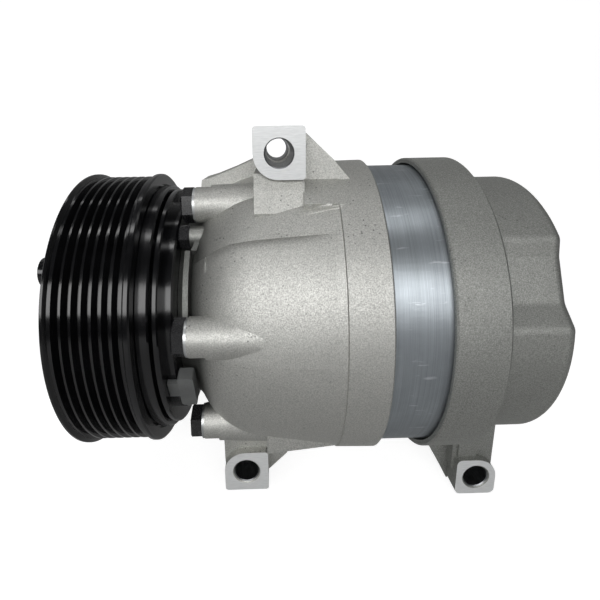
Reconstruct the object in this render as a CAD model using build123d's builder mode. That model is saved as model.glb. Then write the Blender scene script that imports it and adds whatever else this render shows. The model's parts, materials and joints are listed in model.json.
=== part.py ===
from build123d import *
import os
from math import cos, radians, sin

# Variable-displacement automotive air-conditioning compressor, millimetres.
# +X runs along the shaft from the belt pulley to the rear head, the three mounting bores run along Y,
# +Z is up. The origin is on the shaft axis.

# ---------------------------------------------------------------- driving dimensions

# Stations along the shaft axis, front to rear
LUG_FACE = -50.8
NOSE_TIP = -96.0
WALL_FRONT = -58.3
WALL_INSIDE = -46.0
CAVITY_SHOULDER = -28.0
HOUSING_REAR = 21.9
SPIGOT_FRONT = 10.0
SKIRT_FRONT = 42.5
BLOCK_REAR = 46.0
HEAD_FLANGE_REAR = 62.2
HEAD_REAR = 91.2

# Casings
HOUSING_RADIUS = 67.2
CAVITY_RADIUS = 49.5
BAND_RADIUS = 64.4
HEAD_FLANGE_RADIUS = 67.6
HEAD_BODY_RADIUS = 59.0
SKIRT_INNER_RADIUS = 65.4
FIT = 0.05

# Through bolts: M8 with 13 mm heads
BOLT_COUNT = 6
BOLT_CIRCLE = 55.0
BOLT_START = 172.0
BOLT_RADIUS = 3.9
BOLT_HOLE_RADIUS = 4.1
BOLT_END = 60.2
BOLT_HEX = 13.0
BOLT_HEAD_HEIGHT = 4.8
WASHER_RADIUS = 7.3
WASHER_THICKNESS = 1.0
LUG_RADIUS = 7.55

# Mounting ears: two in line per bore, 10.8 mm bores
EAR_NEAR = -35.0
EAR_NEAR_THICKNESS = 31.0
EAR_FAR = 20.0
EAR_FAR_THICKNESS = 25.0
EAR_SIZE = 20.0
REAR_EAR_SIZE = 18.4
EAR_BORE = 5.4
EAR_CHAMFER = 0.9
UPPER_EAR_CHAMFER = 0.35
EAR_EDGE_RADIUS = 1.3
REAR_EAR_EDGE_RADIUS = 2.6
LEG_SETBACK = 4.0
UPPER_EAR = (-16.5, 72.2)
LOWER_FRONT_EAR = (-33.8, -70.4)
LOWER_REAR_EAR = (72.7, -77.2)

# Belt pulley: seven PK grooves
RIB_PITCH = 3.56
RIB_COUNT = 7
FIRST_CREST = -98.56
CREST_RADIUS = 61.27
CREST_HALF = 0.4
RIB_DEPTH = 3.0
ROOT_HALF = 0.3
RIM_RADIUS = 62.7
PULLEY_FRONT = -101.5
PULLEY_RIM_REAR = -70.4
PULLEY_REAR = -65.6
PULLEY_STEP_RADIUS = 56.8

# Clutch
CHANNEL_OUTER = 52.6
CHANNEL_INNER = 31.0
CHANNEL_FLOOR = -94.6
FRICTION_FACE = -99.2
ARMATURE_GAP = 0.6
ARMATURE_THICKNESS = 3.4
RIVET_CIRCLE = 49.5
RIVET_START = 144.0
RIVET_COUNT = 3
NOSE_RADIUS = 17.5
COIL_SEAT_RADIUS = 24.0
BEARING_FRONT = -90.0
BEARING_REAR = -70.0
BEARING_OUTER = 26.0
BALL_CIRCLE = 21.75
BALL_RADIUS = 2.4
BALL_ROWS = (-84.6, -75.4)
BALLS_PER_ROW = 18

# Shaft seats in the casings
BEARING_SEAT_RADIUS = 12.0
SEAL_SEAT_RADIUS = 12.0
SHAFT_PASSAGE = 8.5
REAR_BEARING_SEAT = 11.0

# Shaft and swash group
SHAFT_RADIUS = 7.5
SHAFT_NOSE_RADIUS = 6.5
THREAD_RADIUS = 5.0
HUB_REAR = -96.5
HUB_FRONT = -102.2
SHAFT_FRONT = -107.2
SHAFT_REAR = 40.0
LUG_PLATE_FRONT = -42.4
LUG_PLATE_REAR = -36.4
BALL_SLEEVE_X = -6.0
BALL_SLEEVE_RADIUS = 14.0
RUNNING = 0.08
WOBBLE_RADIUS = 43.0
WOBBLE_HALF = 4.0

# Cylinders
CYLINDERS = 5
CYLINDER_CIRCLE = 33.0
CYLINDER_RADIUS = 14.5
PISTON_LENGTH = 26.0
PISTON_TOP = 45.4
ROD_BALL = 4.2

# Valve stack behind the cylinder block
REED_THICKNESS = 0.3
VALVE_PLATE_THICKNESS = 3.0
GASKET_THICKNESS = 0.8

os.makedirs("parts", exist_ok=True)


# ---------------------------------------------------------------- helpers

def at(x):
    """The plane across the shaft axis at x; its sketch axes are Y and Z."""
    return Plane.YZ.offset(x)


def polar(radius, degrees):
    """Y and Z of a point on a circle about the shaft axis, from +Y towards +Z."""
    return radius * cos(radians(degrees)), radius * sin(radians(degrees))


def save(part, name):
    part.label = name
    export_step(part, f"parts/{name}.step")


def turned(profile):
    """A body of revolution about X from (x, radius) points."""
    with BuildPart() as body:
        with BuildSketch(Plane.XY):
            with BuildLine():
                Polyline(*profile, close=True)
            make_face()
        revolve(axis=Axis.X)
    return body.part


def ring(front, rear, inner, outer):
    """A plain washer or sleeve about X."""
    return turned([(front, inner), (rear, inner), (rear, outer), (front, outer)])


def slab(points, y_front, y_rear):
    """A plate in the XZ plane between two Y stations, from (x, z) points."""
    with BuildPart() as body:
        with BuildSketch(Plane.XZ.offset(-y_rear)):
            with BuildLine():
                Polyline(*points, close=True)
            make_face()
        extrude(amount=y_rear - y_front)
    return body.part


def cross_slab(points, x_front, x_rear):
    """A plate across the shaft between two X stations, from (y, z) points."""
    with BuildPart() as body:
        with BuildSketch(at(x_front)):
            with BuildLine():
                Polyline(*points, close=True)
            make_face()
        extrude(amount=x_rear - x_front)
    return body.part


def ear(centre, round_x, round_z, y_front, thickness, size=EAR_SIZE, edge=EAR_EDGE_RADIUS):
    """A square mounting ear with one corner rounded about its bore."""
    x, z = centre
    corner = (x + round_x * size / 2, z + round_z * size / 2)
    with BuildPart() as body:
        with BuildSketch(Plane.XZ.offset(-(y_front + thickness))) as face:
            with Locations((x, z)):
                Rectangle(size, size)
            fillet(face.vertices().sort_by_distance(corner)[1:], edge)
            fillet(face.vertices().sort_by_distance(corner)[0], size / 2 - 0.1)
        extrude(amount=thickness)
    return body.part


def y_hole(centre, radius, y_front, y_rear):
    """A round cutter along Y."""
    x, z = centre
    with BuildPart() as body:
        with BuildSketch(Plane.XZ.offset(-y_rear)):
            with Locations((x, z)):
                Circle(radius)
        extrude(amount=y_rear - y_front)
    return body.part


def ear_bores(centre, depth=EAR_CHAMFER):
    """The cutters of one mounting bore through both of its ears, chamfered at each mouth."""
    mouths = (
        EAR_NEAR,
        EAR_NEAR + EAR_NEAR_THICKNESS,
        EAR_FAR,
        EAR_FAR + EAR_FAR_THICKNESS,
    )
    x, z = centre
    cutter = y_hole(centre, EAR_BORE, EAR_NEAR - 5, EAR_FAR + EAR_FAR_THICKNESS + 5)
    for y in (mouths[0], mouths[3]):
        inward = 1 if y < 0 else -1
        with BuildPart(Plane(origin=(x, y + inward * depth / 2, z), z_dir=(0, inward, 0))) as mouth:
            Cone(EAR_BORE + depth, EAR_BORE, depth)
        cutter = cutter + mouth.part
    return cutter


def bolt_cylinders(front, rear, radius):
    """Six cylinders along X on the bolt circle."""
    with BuildPart() as body:
        with BuildSketch(at(front)):
            with PolarLocations(BOLT_CIRCLE, BOLT_COUNT, start_angle=BOLT_START):
                Circle(radius)
        extrude(amount=rear - front)
    return body.part


# ---------------------------------------------------------------- front housing

BOWL_FRONT = (WALL_FRONT, 40.0)
BOWL_RISE = (-50.5, 46.0)
BOWL_SHOULDER = (-27.0, 61.9)
BOWL_REAR = (5.6, 66.1)
RIM_FRONT = (5.9, 66.9)
PANEL_FRONT = (-51.4, 46.6)
PANEL_SHOULDER = (-27.8, 63.3)
PANEL_REAR = (3.0, 65.7)
PANEL_START = 141.0
PANEL_ARC = 39.0
CROWN_START = 53.0
CROWN_ARC = 74.0
SWELLING_FRONT = -44.5
SWELLING_FRONT_RADIUS = 8.3
SWELLING_REAR = 2.0
SWELLING_REAR_RADIUS = 10.2
CRANKCASE = [
    (HOUSING_REAR, CAVITY_RADIUS),
    (CAVITY_SHOULDER, CAVITY_RADIUS),
    (-37.0, 47.5),
    (WALL_INSIDE, 37.0),
]
WALL_INNER_EDGE = 38.0
CLAMP_POINT = polar(45.5, 122.5)
CLAMP_BOSS_RADIUS = 4.5
CLAMP_SPOT_RADIUS = 5.6
CLAMP_FACE = -53.6
CLAMP_HOLE_RADIUS = 3.05
CLAMP_HEAD_HEIGHT = 4.5
CLAMP_HEAD_APOTHEM = 4.5
COLLAR_X = (-55.0, -52.9)
COLLAR_RADIUS = 47.0
COLLAR_START = 133.0
COLLAR_ARC = 38.0
RIB_LOWER = (-51.4, -32.6, 34.4)
RIB_UPPER = (-48.6, -22.6, 42.4)
RIB_WIDTH = 2.1
RIB_REACH = 8.0
BRACE_NEAR = (-27.0, -9.0)
BRACE_FAR = (24.0, 38.0)


def housing_shell():
    """The bowl, its nose tube and its stepped central bore."""
    with BuildPart() as shell:
        with BuildSketch(Plane.XY):
            with BuildLine():
                rise = TangentArc(BOWL_FRONT, BOWL_RISE, tangent=(1, 0.27))
                shoulder = TangentArc(BOWL_RISE, BOWL_SHOULDER, tangent=rise % 1)
                TangentArc(BOWL_SHOULDER, BOWL_REAR, tangent=shoulder % 1)
                Polyline(
                    BOWL_REAR,
                    RIM_FRONT,
                    (HOUSING_REAR - 0.6, HOUSING_RADIUS),
                    (HOUSING_REAR, HOUSING_RADIUS - 0.6),
                    *CRANKCASE,
                    (WALL_INSIDE, BEARING_SEAT_RADIUS),
                    (-64.0, BEARING_SEAT_RADIUS),
                    (-64.0, SHAFT_PASSAGE),
                    (-82.0, SHAFT_PASSAGE),
                    (-82.0, SEAL_SEAT_RADIUS),
                    (-92.75, SEAL_SEAT_RADIUS),
                    (-92.75, SEAL_SEAT_RADIUS + 0.9),
                    (-94.05, SEAL_SEAT_RADIUS + 0.9),
                    (-94.05, SEAL_SEAT_RADIUS),
                    (NOSE_TIP, SEAL_SEAT_RADIUS),
                    (NOSE_TIP, NOSE_RADIUS - 0.6),
                    (NOSE_TIP + 0.6, NOSE_RADIUS),
                    (BEARING_FRONT - 1.35, NOSE_RADIUS),
                    (BEARING_FRONT - 1.35, NOSE_RADIUS - 1),
                    (BEARING_FRONT, NOSE_RADIUS - 1),
                    (BEARING_FRONT, NOSE_RADIUS),
                    (BEARING_REAR, NOSE_RADIUS),
                    (BEARING_REAR, NOSE_RADIUS + 2),
                    (-67.9, NOSE_RADIUS + 2),
                    (-67.9, COIL_SEAT_RADIUS),
                    (-66.4, COIL_SEAT_RADIUS),
                    (-66.4, COIL_SEAT_RADIUS - 1),
                    (-65.1, COIL_SEAT_RADIUS - 1),
                    (-65.1, COIL_SEAT_RADIUS),
                    (WALL_FRONT, COIL_SEAT_RADIUS),
                    BOWL_FRONT,
                )
            make_face()
        revolve(axis=Axis.X)
    return shell.part


def raised_panel():
    """A panel of the bowl that stands proud between the near lug and the upper ear, and fades to the rear."""
    with BuildPart() as panel:
        with BuildSketch(Plane.XY.rotated((PANEL_START, 0, 0))):
            with BuildLine():
                outline = TangentArc(PANEL_FRONT, PANEL_SHOULDER, tangent=(1, 1.75))
                TangentArc(PANEL_SHOULDER, PANEL_REAR, tangent=outline % 1)
                Polyline(PANEL_REAR, (PANEL_REAR[0], 55.0), (PANEL_FRONT[0] + 3, 40.0), PANEL_FRONT)
            make_face()
        revolve(axis=Axis.X, revolution_arc=PANEL_ARC)
    return panel.part


def collar_arc():
    """A narrow collar in front of the bowl, and the rib that carries it on to the upper bolt lug."""
    with BuildPart() as collar:
        with BuildSketch(Plane.XY.rotated((COLLAR_START, 0, 0))):
            with BuildLine():
                Polyline(
                    (COLLAR_X[0], WALL_INNER_EDGE),
                    (COLLAR_X[0], COLLAR_RADIUS),
                    (COLLAR_X[1], COLLAR_RADIUS),
                    (COLLAR_X[1], WALL_INNER_EDGE),
                    close=True,
                )
            make_face()
        revolve(axis=Axis.X, revolution_arc=COLLAR_ARC)
        along = Vector(RIB_UPPER) - Vector(RIB_LOWER)
        middle = Vector(RIB_LOWER) + along / 2
        inward = Vector(0, -middle.Y, -middle.Z)
        with BuildSketch(Plane(origin=middle, x_dir=along, z_dir=inward)):
            Rectangle(along.length, RIB_WIDTH)
        extrude(amount=RIB_REACH)
    return collar.part


def crown_land():
    """Over the top of the bowl, the rim's full radius carried forward to the upper ears."""
    front = UPPER_EAR[0] + EAR_SIZE / 2 - 1
    with BuildPart() as land:
        with BuildSketch(Plane.XY.rotated((CROWN_START, 0, 0))):
            with BuildLine():
                Polyline(
                    (front, BOWL_SHOULDER[1] - 7),
                    (front, HOUSING_RADIUS),
                    (BOWL_REAR[0] + 2, HOUSING_RADIUS),
                    (BOWL_REAR[0] + 2, BOWL_SHOULDER[1] - 7),
                    close=True,
                )
            make_face()
        revolve(axis=Axis.X, revolution_arc=CROWN_ARC)
    return land.part


def bolt_swellings():
    """Behind each bolt lug, a boss that swells until it meets the bowl."""
    with BuildPart() as swelling:
        for k in range(BOLT_COUNT):
            y, z = polar(BOLT_CIRCLE, BOLT_START + k * 360 / BOLT_COUNT)
            with BuildSketch(Plane(origin=(SWELLING_FRONT, y, z), z_dir=(1, 0, 0))):
                Circle(SWELLING_FRONT_RADIUS)
            with BuildSketch(Plane(origin=(SWELLING_REAR, y, z), z_dir=(1, 0, 0))):
                Circle(SWELLING_REAR_RADIUS)
            loft()
    return swelling.part


def upper_ear_solids():
    """The upper ears with their leaning pads, the web in front and the gussets behind."""
    left = UPPER_EAR[0] - EAR_SIZE / 2
    right = UPPER_EAR[0] + EAR_SIZE / 2
    near_pad = [(-31.2, 64.5), (-38.6, 50.0), (-36.0, 40.0), (0.0, 40.0), (0.0, 64.5)]
    far_pad = [(41.0, 64.5), (44.0, 47.0), (40.0, 40.0), (10.0, 40.0), (10.0, 64.5)]
    climb = [(-51.0, 56.0), (-50.5, 60.0), (-45.0, 61.5), (-36.0, 64.9), (left, 69.0), (left + 1, 52.0)]
    brace = [(right - 1, 79.5), (right + 0.9, 79.5), (5.1, 69.3), (12.5, 60.5), (12.5, 50.0)]
    brace.append((right - 1, 50.0))
    return [
        ear(UPPER_EAR, -1, -1, EAR_NEAR, EAR_NEAR_THICKNESS),
        ear(UPPER_EAR, -1, -1, EAR_FAR, EAR_FAR_THICKNESS),
        cross_slab(near_pad, left, right - 0.4),
        cross_slab(far_pad, left, right - 0.4),
        slab(climb, -8.0, 14.0),
        slab(brace, *BRACE_NEAR),
        slab(brace, *BRACE_FAR),
    ]


def lower_front_ear_solids():
    """The lower front ears with their legs, small gussets and tapering ribs."""
    x, z = LOWER_FRONT_EAR
    left = x - EAR_SIZE / 2
    right = x + EAR_SIZE / 2
    leg = [(left, -30.0), (left, z + 2), (right, z + 2), (right, -30.0)]
    gusset = [(right - 1, -50.0), (right - 1, -76.4), (right + 0.3, -76.4), (-14.9, -67.6), (-12.0, -50.0)]
    taper = [(right, -40.0), (right, -53.3), (11.0, -49.2), (11.0, -40.0)]
    return [
        ear(LOWER_FRONT_EAR, -1, 1, EAR_NEAR, EAR_NEAR_THICKNESS),
        ear(LOWER_FRONT_EAR, -1, 1, EAR_FAR, EAR_FAR_THICKNESS),
        slab(leg, EAR_NEAR + LEG_SETBACK, EAR_NEAR + EAR_NEAR_THICKNESS),
        slab(leg, EAR_FAR, EAR_FAR + EAR_FAR_THICKNESS - LEG_SETBACK),
        slab(gusset, *BRACE_NEAR),
        slab(gusset, *BRACE_FAR),
        slab(taper, -44.0, -20.0),
        slab(taper, 20.0, 42.0),
    ]


housing_solids = [housing_shell(), raised_panel(), crown_land(), bolt_swellings(), collar_arc()]
housing_solids.append(bolt_cylinders(LUG_FACE, -30.0, LUG_RADIUS))
housing_solids += upper_ear_solids() + lower_front_ear_solids()
housing_cutters = [
    turned([(WALL_INSIDE, 0), (HOUSING_REAR + 1, 0), (HOUSING_REAR + 1, CAVITY_RADIUS)] + CRANKCASE[1:]),
    bolt_cylinders(LUG_FACE - 1, HOUSING_REAR + 1, BOLT_HOLE_RADIUS),
    ear_bores(UPPER_EAR, UPPER_EAR_CHAMFER),
    ear_bores(LOWER_FRONT_EAR),
]
with BuildPart() as front_housing:
    add(housing_solids)
    with BuildSketch(at(CLAMP_FACE)):
        with Locations(CLAMP_POINT):
            Circle(CLAMP_BOSS_RADIUS)
    extrude(amount=10)
    add(housing_cutters, mode=Mode.SUBTRACT)
    with BuildSketch(at(CLAMP_FACE)):
        with Locations(CLAMP_POINT):
            Circle(CLAMP_SPOT_RADIUS)
    extrude(amount=-CLAMP_HEAD_HEIGHT, mode=Mode.SUBTRACT)
    with BuildSketch(at(CLAMP_FACE)):
        with Locations(CLAMP_POINT):
            Circle(CLAMP_HOLE_RADIUS)
    extrude(amount=6, mode=Mode.SUBTRACT)
save(front_housing.part, "front_housing")


# ---------------------------------------------------------------- cylinder block and valve stack

CYLINDER_START = 90.0
O_RING_SECTION = 0.98
O_RING_RADIUS = 61.5
O_RING_X = HOUSING_REAR + 1.05

cylinder_body = turned([
    (SPIGOT_FRONT, SHAFT_PASSAGE),
    (26.0, SHAFT_PASSAGE),
    (26.0, REAR_BEARING_SEAT),
    (BLOCK_REAR, REAR_BEARING_SEAT),
    (BLOCK_REAR, BAND_RADIUS - 0.4),
    (BLOCK_REAR - 0.4, BAND_RADIUS),
    (HOUSING_REAR, BAND_RADIUS),
    (HOUSING_REAR, O_RING_RADIUS + 1.2),
    (HOUSING_REAR + 2.1, O_RING_RADIUS + 1.2),
    (HOUSING_REAR + 2.1, O_RING_RADIUS - 1.2),
    (HOUSING_REAR, O_RING_RADIUS - 1.2),
    (HOUSING_REAR, CAVITY_RADIUS - FIT),
    (SPIGOT_FRONT + 0.8, CAVITY_RADIUS - FIT),
    (SPIGOT_FRONT, CAVITY_RADIUS - FIT - 0.8),
])
with BuildPart() as cylinder_block:
    add(cylinder_body)
    with BuildSketch(at(SPIGOT_FRONT - 1)):
        with PolarLocations(CYLINDER_CIRCLE, CYLINDERS, start_angle=CYLINDER_START):
            Circle(CYLINDER_RADIUS + 0.06)
        with PolarLocations(BOLT_CIRCLE, BOLT_COUNT, start_angle=BOLT_START):
            Circle(BOLT_HOLE_RADIUS)
    extrude(amount=BLOCK_REAR - SPIGOT_FRONT + 2, mode=Mode.SUBTRACT)
save(cylinder_block.part, "cylinder_block")

with BuildPart() as front_o_ring:
    with BuildSketch(Plane.XY):
        with Locations((O_RING_X, O_RING_RADIUS)):
            Circle(O_RING_SECTION)
    revolve(axis=Axis.X)
save(front_o_ring.part, "front_o_ring")

STACK_RADIUS = 64.2
PORT_ANGLES = dict(count=CYLINDERS, start_angle=CYLINDER_START)


def stack_disc(front, thickness, holes, reed_circle=None):
    """One disc of the valve stack, with bolt holes, (circle, radius) port holes and cut-round reeds."""
    with BuildPart() as disc:
        with BuildSketch(at(front)):
            Circle(STACK_RADIUS)
            with PolarLocations(BOLT_CIRCLE, BOLT_COUNT, start_angle=BOLT_START):
                Circle(BOLT_HOLE_RADIUS + 0.2, mode=Mode.SUBTRACT)
            for circle, radius in holes:
                with PolarLocations(circle, **PORT_ANGLES):
                    Circle(radius, mode=Mode.SUBTRACT)
            if reed_circle:
                for side in (-1, 1):
                    with PolarLocations(reed_circle, **PORT_ANGLES):
                        with Locations((0, side * 5.2)):
                            Rectangle(14, 1.0, mode=Mode.SUBTRACT)
                with PolarLocations(reed_circle + 6.5, **PORT_ANGLES):
                    Rectangle(1.0, 10.4, mode=Mode.SUBTRACT)
        extrude(amount=thickness)
    return disc.part


suction_front = BLOCK_REAR
plate_front = suction_front + REED_THICKNESS
discharge_front = plate_front + VALVE_PLATE_THICKNESS
gasket_front = discharge_front + REED_THICKNESS
HEAD_FLOOR = gasket_front + GASKET_THICKNESS
SUCTION_PORTS = (40.5, 3.0)
DISCHARGE_PORTS = (25.5, 2.6)
save(stack_disc(suction_front, REED_THICKNESS, [DISCHARGE_PORTS], 38.5), "suction_reed_plate")
save(stack_disc(plate_front, VALVE_PLATE_THICKNESS, [SUCTION_PORTS, DISCHARGE_PORTS]), "valve_plate")
save(stack_disc(discharge_front, REED_THICKNESS, [SUCTION_PORTS], 23.5), "discharge_reed_plate")
with BuildPart() as head_gasket:
    with BuildSketch(at(gasket_front)):
        Circle(STACK_RADIUS)
        Circle(47.5, mode=Mode.SUBTRACT)
        Circle(37.0)
        Circle(32.5, mode=Mode.SUBTRACT)
        with PolarLocations(42.0, CYLINDERS, start_angle=CYLINDER_START + 36):
            Rectangle(12.0, 3.0)
        with PolarLocations(BOLT_CIRCLE, BOLT_COUNT, start_angle=BOLT_START):
            Circle(BOLT_HOLE_RADIUS + 0.2, mode=Mode.SUBTRACT)
    extrude(amount=GASKET_THICKNESS)
save(head_gasket.part, "head_gasket")


# ---------------------------------------------------------------- rear head

HEAD_BODY_DROP = -1.2
HEAD_EDGE = 4.0
VALLEY_FILLET = 5.0
CHAMBER_REAR = 72.0
SUCTION_PORT = polar(42.3, -30.0)
SUCTION_PORT_RADIUS = 8.0
DISCHARGE_PORT = (12.0, -9.0)
DISCHARGE_PORT_RADIUS = 6.5
PORT_BOLT = (25.0, -12.0)
PORT_BOLT_RADIUS = 3.4
CONTROL_ANGLE = 20.0
CONTROL_X = 80.5
CONTROL_RADIUS = 6.0
CONTROL_DEPTH = 28.0
RELIEF_POINT = (-8.0, 24.0)
RELIEF_RADIUS = 4.0
LEDGE_HEIGHT = 1.6
BOSS_HEIGHT = 1.3


def radial(degrees, x, radius):
    """A plane facing outwards from the shaft axis, its origin at the given radius."""
    y, z = polar(1, degrees)
    return Plane(origin=(x, radius * y, radius * z), x_dir=(1, 0, 0), z_dir=(0, y, z))


def lobed_body():
    """The rear body: round, with one shallow valley down its near side and a rounded rear edge."""
    valley = [(-44.2, 32.1), (-43.0, 40.8), (-42.0, 48.0), (-72.0, 48.0), (-72.0, 2.2)]
    valley += [(-65.6, 2.2), (-50.9, 16.1)]
    with BuildPart() as body:
        with BuildSketch(at(SKIRT_FRONT + 12)) as outline:
            with Locations((0, HEAD_BODY_DROP)):
                Circle(HEAD_BODY_RADIUS + 0.3)
            with BuildLine():
                Polyline(*valley, close=True)
            make_face(mode=Mode.SUBTRACT)
            near_corners = outline.vertices().filter_by(lambda v: v.X < -20)
            fillet(near_corners, VALLEY_FILLET)
        extrude(amount=HEAD_REAR - SKIRT_FRONT - 12)
        fillet(body.faces().sort_by(Axis.X)[-1].edges(), HEAD_EDGE)
    return body.part


def lower_rear_ear_solids():
    """The lower rear ears, their legs and the concave gussets that run up to the flange."""
    x, z = LOWER_REAR_EAR
    left = x - EAR_SIZE / 2
    right = x + EAR_SIZE / 2
    leg = [(left - 0.2, -40.0), (left - 0.2, z + 2), (right - 1.4, z + 2), (right - 1.4, -40.0)]
    ledge = [(56.0, -55.9), (56.0, -57.4), (right - 8.2, -57.4), (right - 8.2, -55.9)]
    boss = [(left + 2.0, -57.0), (left + 2.0, z + 7), (left + 10.6, z + 7), (left + 10.6, -57.0)]
    gussets = []
    for y_front, y_rear in ((-25.0, -9.0), (24.0, 38.0)):
        with BuildPart() as gusset:
            with BuildSketch(Plane.XZ.offset(-y_rear)):
                with BuildLine():
                    ThreePointArc((44.6, -52.0), (55.5, -71.0), (left + 0.8, z - 9.2))
                    Polyline((left + 0.8, z - 9.2), (left + 1.5, z - 9.2), (left + 1.5, -40.0), (44.6, -52.0))
                make_face()
            extrude(amount=y_rear - y_front)
        gussets.append(gusset.part)
    return gussets + [
        ear(LOWER_REAR_EAR, 1, 1, EAR_NEAR, EAR_NEAR_THICKNESS, REAR_EAR_SIZE, REAR_EAR_EDGE_RADIUS),
        ear(LOWER_REAR_EAR, 1, 1, EAR_FAR, EAR_FAR_THICKNESS, REAR_EAR_SIZE, REAR_EAR_EDGE_RADIUS),
        slab(leg, EAR_NEAR + LEG_SETBACK, EAR_NEAR + EAR_NEAR_THICKNESS),
        slab(leg, EAR_FAR, EAR_FAR + EAR_FAR_THICKNESS - LEG_SETBACK),
        slab(ledge, EAR_NEAR + LEG_SETBACK - LEDGE_HEIGHT, -20.0),
        slab(boss, EAR_NEAR + LEG_SETBACK - BOSS_HEIGHT, -20.0),
    ]


head_flange = turned([
    (SKIRT_FRONT, 0),
    (SKIRT_FRONT, HEAD_FLANGE_RADIUS - 0.6),
    (SKIRT_FRONT + 0.6, HEAD_FLANGE_RADIUS),
    (HEAD_FLANGE_REAR - 1.0, HEAD_FLANGE_RADIUS),
    (HEAD_FLANGE_REAR, HEAD_FLANGE_RADIUS - 1.0),
    (HEAD_FLANGE_REAR, 0),
])
head_cutters = [
    turned([
        (SKIRT_FRONT - 9, 0),
        (HEAD_FLOOR, 0),
        (HEAD_FLOOR, SKIRT_INNER_RADIUS),
        (SKIRT_FRONT - 9, SKIRT_INNER_RADIUS),
    ]),
    ring(HEAD_FLOOR - 1, CHAMBER_REAR, 37.5, 47.0),
    ring(HEAD_FLOOR - 1, CHAMBER_REAR, 6.0, 32.0),
    bolt_cylinders(HEAD_FLOOR - 1, BOLT_END + 0.6, BOLT_RADIUS + FIT),
    ear_bores(LOWER_REAR_EAR),
]
with BuildPart() as rear_head:
    add(head_flange)
    add(lobed_body())
    add(lower_rear_ear_solids())
    add(head_cutters, mode=Mode.SUBTRACT)
    # ports and their bolt hole, open at the rear face
    with BuildSketch(at(CHAMBER_REAR - 1)):
        with Locations(SUCTION_PORT):
            Circle(SUCTION_PORT_RADIUS)
        with Locations(DISCHARGE_PORT):
            Circle(DISCHARGE_PORT_RADIUS)
        with Locations(RELIEF_POINT):
            Circle(RELIEF_RADIUS + FIT)
    extrude(amount=HEAD_REAR - CHAMBER_REAR + 2, mode=Mode.SUBTRACT)
    with BuildSketch(at(HEAD_REAR - 14)):
        with Locations(PORT_BOLT):
            Circle(PORT_BOLT_RADIUS)
    extrude(amount=15, mode=Mode.SUBTRACT)
    # seal counterbores at the port mouths
    with BuildSketch(at(HEAD_REAR - 1.8)):
        with Locations(SUCTION_PORT):
            Circle(SUCTION_PORT_RADIUS + 2.2)
        with Locations(DISCHARGE_PORT):
            Circle(DISCHARGE_PORT_RADIUS + 2.2)
    extrude(amount=3, mode=Mode.SUBTRACT)
    # stepped radial bore of the control valve
    with BuildSketch(radial(CONTROL_ANGLE, CONTROL_X, HEAD_BODY_RADIUS - CONTROL_DEPTH)):
        Circle(CONTROL_RADIUS + FIT)
    extrude(amount=CONTROL_DEPTH + 5, mode=Mode.SUBTRACT)
    with BuildSketch(radial(CONTROL_ANGLE, CONTROL_X, HEAD_BODY_RADIUS - 6.0)):
        Circle(CONTROL_RADIUS + 1.6)
    extrude(amount=1.3, mode=Mode.SUBTRACT)
save(rear_head.part, "rear_head")

with BuildPart() as port_seals:
    for centre, radius in ((SUCTION_PORT, SUCTION_PORT_RADIUS), (DISCHARGE_PORT, DISCHARGE_PORT_RADIUS)):
        y, z = centre
        with Locations((HEAD_REAR - 0.95, y, z)):
            Torus(radius + 1.15, 0.8, rotation=(0, 90, 0))
save(port_seals.part, "port_seals")

with BuildPart() as control_valve:
    with BuildSketch(radial(CONTROL_ANGLE, CONTROL_X, HEAD_BODY_RADIUS - CONTROL_DEPTH + 0.3)):
        Circle(CONTROL_RADIUS)
    extrude(amount=CONTROL_DEPTH - 6.6)
    with BuildSketch(radial(CONTROL_ANGLE, CONTROL_X, HEAD_BODY_RADIUS - CONTROL_DEPTH + 0.3)):
        Circle(CONTROL_RADIUS - 2)
        Circle(CONTROL_RADIUS - 3.5, mode=Mode.SUBTRACT)
    extrude(amount=6, mode=Mode.SUBTRACT)
    for groove in (6.0, 14.0):
        with BuildSketch(radial(CONTROL_ANGLE, CONTROL_X, HEAD_BODY_RADIUS - CONTROL_DEPTH + groove)):
            Circle(CONTROL_RADIUS + 1)
            Circle(CONTROL_RADIUS - 1.3, mode=Mode.SUBTRACT)
        extrude(amount=2.0, mode=Mode.SUBTRACT)
save(control_valve.part, "control_valve")

with BuildPart() as control_valve_o_rings:
    for groove in (6.0, 14.0):
        middle = radial(CONTROL_ANGLE, CONTROL_X, HEAD_BODY_RADIUS - CONTROL_DEPTH + groove + 1.0)
        with Locations(middle):
            Torus(CONTROL_RADIUS - 0.6, 0.6)
save(control_valve_o_rings.part, "control_valve_o_rings")

with BuildPart() as control_valve_snap_ring:
    with BuildSketch(radial(CONTROL_ANGLE, CONTROL_X, HEAD_BODY_RADIUS - 5.95)):
        Circle(CONTROL_RADIUS + 1.5)
        Circle(CONTROL_RADIUS - 1.5, mode=Mode.SUBTRACT)
        with Locations((CONTROL_RADIUS, 0)):
            Rectangle(6, 3, mode=Mode.SUBTRACT)
    extrude(amount=1.15)
save(control_valve_snap_ring.part, "control_valve_snap_ring")

with BuildPart() as relief_valve:
    with BuildSketch(at(CHAMBER_REAR + 3)):
        with Locations(RELIEF_POINT):
            Circle(RELIEF_RADIUS)
    extrude(amount=HEAD_REAR - CHAMBER_REAR - 3)
    with BuildSketch(at(HEAD_REAR)):
        with Locations(RELIEF_POINT):
            RegularPolygon(7.0, 6, major_radius=False)
    extrude(amount=4.5)
    with BuildSketch(at(CHAMBER_REAR + 3)):
        with Locations(RELIEF_POINT):
            Circle(1.5)
    extrude(amount=HEAD_REAR - CHAMBER_REAR + 5, mode=Mode.SUBTRACT)
save(relief_valve.part, "relief_valve")


# ---------------------------------------------------------------- through bolts

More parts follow.
